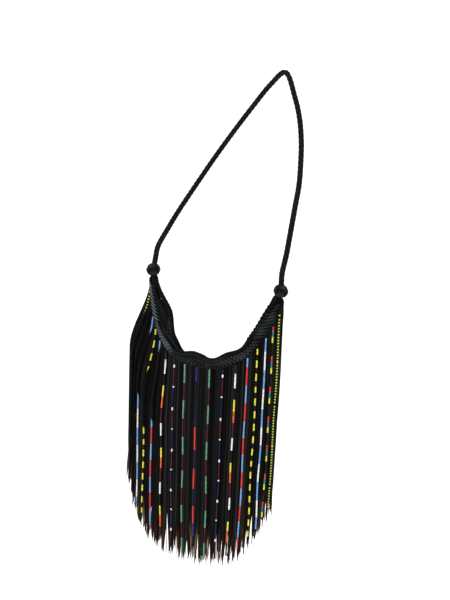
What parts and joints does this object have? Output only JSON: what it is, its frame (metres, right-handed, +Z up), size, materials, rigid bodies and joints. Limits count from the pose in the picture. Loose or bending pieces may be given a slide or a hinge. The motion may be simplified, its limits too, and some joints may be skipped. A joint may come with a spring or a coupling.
{
  "type": "beaded fringe crossbody purse",
  "caption": "Curved leather pouch on a round braided strap, with a laced scooped rim, hanging leather fringe and strands of coloured beads.",
  "frame": {"origin": "underside of the strap's highest point, where the purse hangs", "axes": "+X from the left tip to the right tip, -Y the fringed front, +Z up"},
  "size_m": [0.3148, 0.3191, 0.9573],
  "materials": {
    "laced_leather": "satin laced black leather",
    "knot_leather": "satin wound black leather cord",
    "smooth_leather": "soft grained black leather",
    "lining_cloth": "matt twill",
    "snap_metal": "nickel plated",
    "strap_leather": "satin braided black leather",
    "strip_leather": "soft black leather with brown flesh side",
    "glass_beads": "opaque gloss glass in many colours"
  },
  "bodies": {
    "strap": {"strap_braid": "strap_leather"},
    "bag": {"back_rim": "laced_leather", "back_welt": "smooth_leather", "back_facing": "smooth_leather", "front_panel": "smooth_leather", "back_panel": "smooth_leather", "gusset": "smooth_leather", "lining": "lining_cloth", "inner_pocket": "lining_cloth", "snap_back": "snap_metal", "knot_left": "knot_leather", "knot_right": "knot_leather"},
    "front_lip": {"front_rim": "laced_leather", "front_welt": "smooth_leather", "front_facing": "smooth_leather", "snap_front": "snap_metal"},
    "fall_left_8": {"fringe_left_8": "strip_leather", "bead_strand_left_8": "glass_beads"},
    "fall_left_7": {"fringe_left_7": "strip_leather", "bead_strand_left_7": "glass_beads"},
    "fall_left_6": {"fringe_left_6": "strip_leather", "bead_strand_left_6": "glass_beads"},
    "fall_left_5": {"fringe_left_5": "strip_leather", "bead_strand_left_5": "glass_beads"},
    "fall_left_4": {"fringe_left_4": "strip_leather", "bead_strand_left_4": "glass_beads"},
    "fall_left_3": {"fringe_left_3": "strip_leather", "bead_strand_left_3": "glass_beads"},
    "fall_left_2": {"fringe_left_2": "strip_leather", "bead_strand_left_2": "glass_beads"},
    "fall_left_1": {"fringe_left_1": "strip_leather", "bead_strand_left_1": "glass_beads"},
    "fall_middle": {"fringe_middle": "strip_leather", "bead_strand_middle": "glass_beads"},
    "fall_right_1": {"fringe_right_1": "strip_leather", "bead_strand_right_1": "glass_beads"},
    "fall_right_2": {"fringe_right_2": "strip_leather", "bead_strand_right_2": "glass_beads"},
    "fall_right_3": {"fringe_right_3": "strip_leather", "bead_strand_right_3": "glass_beads"},
    "fall_right_4": {"fringe_right_4": "strip_leather", "bead_strand_right_4": "glass_beads"},
    "fall_right_5": {"fringe_right_5": "strip_leather", "bead_strand_right_5": "glass_beads"},
    "fall_right_6": {"fringe_right_6": "strip_leather", "bead_strand_right_6": "glass_beads"},
    "fall_right_7": {"fringe_right_7": "strip_leather", "bead_strand_right_7": "glass_beads"},
    "fall_right_8": {"fringe_right_8": "strip_leather", "bead_strand_right_8": "glass_beads"}
  },
  "joints": [
    {"name": "bag_swing", "type": "hinge", "parent": "strap", "child": "bag", "pos_m": [-0.042, -0.20205, -0.36907], "axis": [-1, 0, 0], "range_deg": [0, 35]},
    {"name": "mouth_open", "type": "hinge", "parent": "bag", "child": "front_lip", "pos_m": [-0.042, -0.20205, -0.36907], "axis": [-1, 0, 0], "range_deg": [0, 18]},
    {"name": "fall_left_8_swing", "type": "hinge", "parent": "front_lip", "child": "fall_left_8", "pos_m": [-0.17471, -0.20713, -0.4069], "axis": [-0.2689, 0.3331, 0.9038], "range_deg": [0, 30]},
    {"name": "fall_left_7_swing", "type": "hinge", "parent": "front_lip", "child": "fall_left_7", "pos_m": [-0.16719, -0.21583, -0.43006], "axis": [-0.3273, 0.3537, 0.8762], "range_deg": [0, 30]},
    {"name": "fall_left_6_swing", "type": "hinge", "parent": "front_lip", "child": "fall_left_6", "pos_m": [-0.15796, -0.22506, -0.45233], "axis": [-0.4047, 0.3753, 0.8339], "range_deg": [0, 30]},
    {"name": "fall_left_5_swing", "type": "hinge", "parent": "front_lip", "child": "fall_left_5", "pos_m": [-0.14645, -0.23482, -0.4732], "axis": [-0.5088, 0.3942, 0.7654], "range_deg": [0, 30]},
    {"name": "fall_left_4_swing", "type": "hinge", "parent": "front_lip", "child": "fall_left_4", "pos_m": [-0.1319, -0.24493, -0.49174], "axis": [-0.6448, 0.4, 0.6513], "range_deg": [0, 30]},
    {"name": "fall_left_3_swing", "type": "hinge", "parent": "front_lip", "child": "fall_left_3", "pos_m": [-0.1136, -0.25479, -0.50649], "axis": [-0.8, 0.37, 0.4723], "range_deg": [0, 30]},
    {"name": "fall_left_2_swing", "type": "hinge", "parent": "front_lip", "child": "fall_left_2", "pos_m": [-0.0916, -0.26318, -0.5159], "axis": [-0.9264, 0.2816, 0.2501], "range_deg": [0, 30]},
    {"name": "fall_left_1_swing", "type": "hinge", "parent": "front_lip", "child": "fall_left_1", "pos_m": [-0.06723, -0.26867, -0.51987], "axis": [-0.9866, 0.1476, 0.0699], "range_deg": [0, 30]},
    {"name": "fall_middle_swing", "type": "hinge", "parent": "front_lip", "child": "fall_middle", "pos_m": [-0.042, -0.27055, -0.5205], "axis": [-1, 0, 0], "range_deg": [0, 30]},
    {"name": "fall_right_1_swing", "type": "hinge", "parent": "front_lip", "child": "fall_right_1", "pos_m": [-0.01677, -0.26867, -0.51987], "axis": [-0.9866, -0.1476, -0.0699], "range_deg": [0, 30]},
    {"name": "fall_right_2_swing", "type": "hinge", "parent": "front_lip", "child": "fall_right_2", "pos_m": [0.0076, -0.26318, -0.5159], "axis": [-0.9264, -0.2816, -0.2501], "range_deg": [0, 30]},
    {"name": "fall_right_3_swing", "type": "hinge", "parent": "front_lip", "child": "fall_right_3", "pos_m": [0.0296, -0.25479, -0.50649], "axis": [-0.8, -0.37, -0.4723], "range_deg": [0, 30]},
    {"name": "fall_right_4_swing", "type": "hinge", "parent": "front_lip", "child": "fall_right_4", "pos_m": [0.0479, -0.24493, -0.49174], "axis": [-0.6448, -0.4, -0.6513], "range_deg": [0, 30]},
    {"name": "fall_right_5_swing", "type": "hinge", "parent": "front_lip", "child": "fall_right_5", "pos_m": [0.06245, -0.23482, -0.4732], "axis": [-0.5088, -0.3942, -0.7654], "range_deg": [0, 30]},
    {"name": "fall_right_6_swing", "type": "hinge", "parent": "front_lip", "child": "fall_right_6", "pos_m": [0.07396, -0.22506, -0.45233], "axis": [-0.4047, -0.3753, -0.8339], "range_deg": [0, 30]},
    {"name": "fall_right_7_swing", "type": "hinge", "parent": "front_lip", "child": "fall_right_7", "pos_m": [0.08319, -0.21583, -0.43006], "axis": [-0.3273, -0.3537, -0.8762], "range_deg": [0, 30]},
    {"name": "fall_right_8_swing", "type": "hinge", "parent": "front_lip", "child": "fall_right_8", "pos_m": [0.09071, -0.20713, -0.4069], "axis": [-0.2689, -0.3331, -0.9038], "range_deg": [0, 30]}
  ]
}
